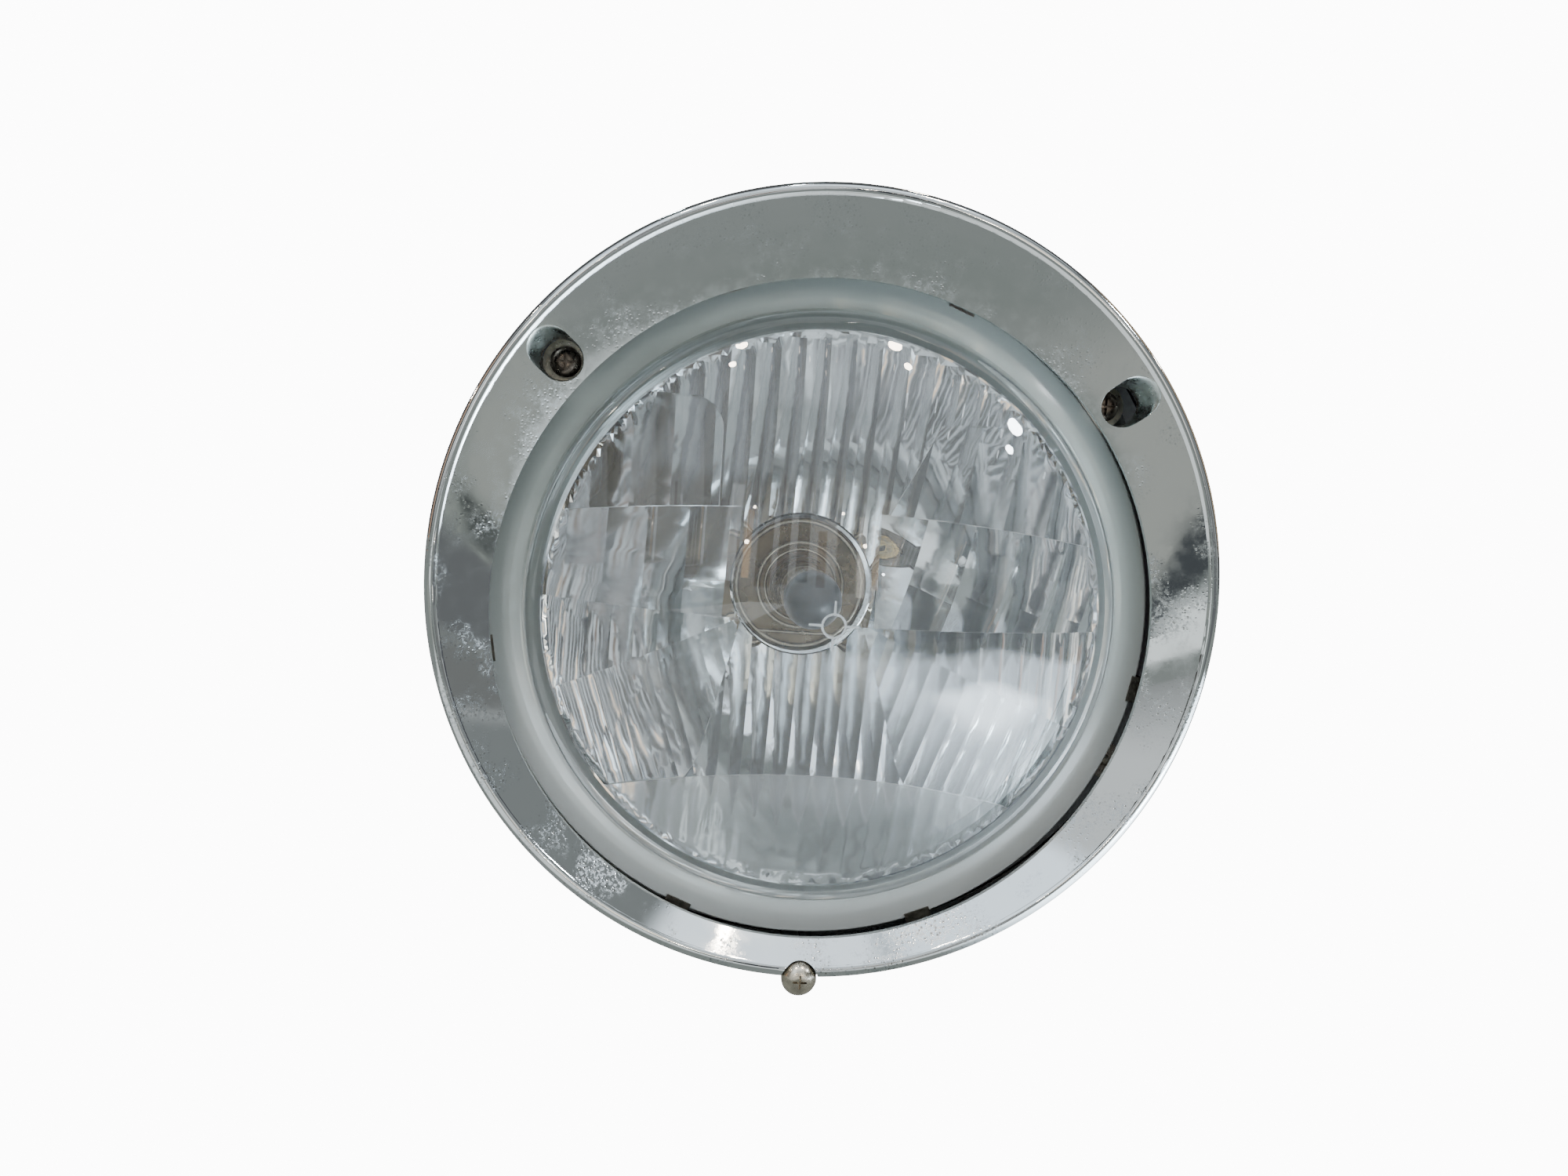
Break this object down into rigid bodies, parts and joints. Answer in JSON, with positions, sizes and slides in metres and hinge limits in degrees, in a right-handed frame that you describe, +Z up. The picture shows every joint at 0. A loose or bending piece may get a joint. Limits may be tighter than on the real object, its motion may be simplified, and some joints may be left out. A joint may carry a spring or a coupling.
{
  "type": "car headlight assembly",
  "caption": "Round chrome-rimmed car headlight with ribbed glass lens, halogen bulb, parking lamp and aiming screws behind two oval access holes in the trim ring.",
  "frame": {"origin": "centre of the round body opening, in the plane of the seal's rear face", "axes": "+Y away from the road, into the car body; the lamp shines along -Y; +Z up; +X to the right as seen from the front"},
  "size_m": [0.204, 0.1245, 0.2092],
  "materials": {
    "chrome_trim": "polished chrome, lightly pitted",
    "nickel_screw": "satin nickel",
    "black_rubber": "matt moulded rubber",
    "grey_steel": "satin grey paint",
    "spring_steel": "satin",
    "zinc_steel": "zinc plated, slightly yellow",
    "white_nylon": "moulded nylon",
    "mirror_reflector": "vacuum-aluminised inside, grey lacquer outside",
    "lens_glass": "clear pressed glass, faint green",
    "bulb_glass": "clear quartz",
    "bulb_metal": "dull nickel-plated cap",
    "tungsten": "coiled tungsten",
    "brown_phenolic": "moulded phenolic",
    "tinned_brass": "tinned",
    "brass_cap": "bright"
  },
  "bodies": {
    "mounting": {"trim_ring": "chrome_trim", "trim_screw": "nickel_screw", "body_seal": "black_rubber", "support_ring": "grey_steel", "trim_clips": "spring_steel", "rivets": "zinc_steel", "top_hook": "grey_steel", "pivot_stud": "zinc_steel", "aim_nut_left": "white_nylon", "aim_nut_right": "white_nylon"},
    "pivot": {"pivot_socket": "white_nylon"},
    "light_unit": {"adjusting_frame": "zinc_steel", "pivot_bracket": "zinc_steel", "reflector": "mirror_reflector", "lens_gasket": "black_rubber", "lens": "lens_glass", "lens_clips": "spring_steel", "bulb_seat": "zinc_steel", "bulb_base": "bulb_metal", "bulb_glass": "bulb_glass", "low_beam_filament": "tungsten", "high_beam_filament": "tungsten", "low_beam_shield": "bulb_metal", "filament_supports": "bulb_metal", "bulb_insulator": "brown_phenolic", "bulb_terminals": "tinned_brass", "parking_socket": "zinc_steel", "parking_bulb_base": "brass_cap", "parking_bulb_glass": "bulb_glass", "parking_terminal": "tinned_brass"},
    "aim_screw_left": {"aim_screw_left": "zinc_steel", "screw_retainer_left": "spring_steel"},
    "aim_screw_right": {"aim_screw_right": "zinc_steel", "screw_retainer_right": "spring_steel"},
    "bulb_clip": {"bulb_clip": "spring_steel"}
  },
  "joints": [
    {"name": "aim_left", "type": "hinge", "parent": "mounting", "child": "pivot", "pos_m": [0, 0.004, -0.087], "axis": [-0.4554, 0, -0.8903], "range_deg": [-2.2, 2.2]},
    {"name": "aim_right", "type": "hinge", "parent": "pivot", "child": "light_unit", "pos_m": [0, 0.004, -0.087], "axis": [-0.4554, 0, 0.8903], "range_deg": [-2.2, 2.2]},
    {"name": "turn_left_screw", "type": "hinge", "parent": "light_unit", "child": "aim_screw_left", "pos_m": [-0.0717, 0.004, 0.05316], "axis": [0, 1, 0], "range_deg": [-990, 990]},
    {"name": "turn_right_screw", "type": "hinge", "parent": "light_unit", "child": "aim_screw_right", "pos_m": [0.0717, 0.004, 0.05316], "axis": [0, 1, 0], "range_deg": [-990, 990]},
    {"name": "bulb_clip_hinge", "type": "hinge", "parent": "light_unit", "child": "bulb_clip", "pos_m": [0, 0.0513, 0.0195], "axis": [1, 0, 0], "range_deg": [0, 110]}
  ],
  "couplings": [
    {"joint": "turn_left_screw", "follows": "aim_left", "ratio": 445.65},
    {"joint": "turn_right_screw", "follows": "aim_right", "ratio": 445.65}
  ]
}
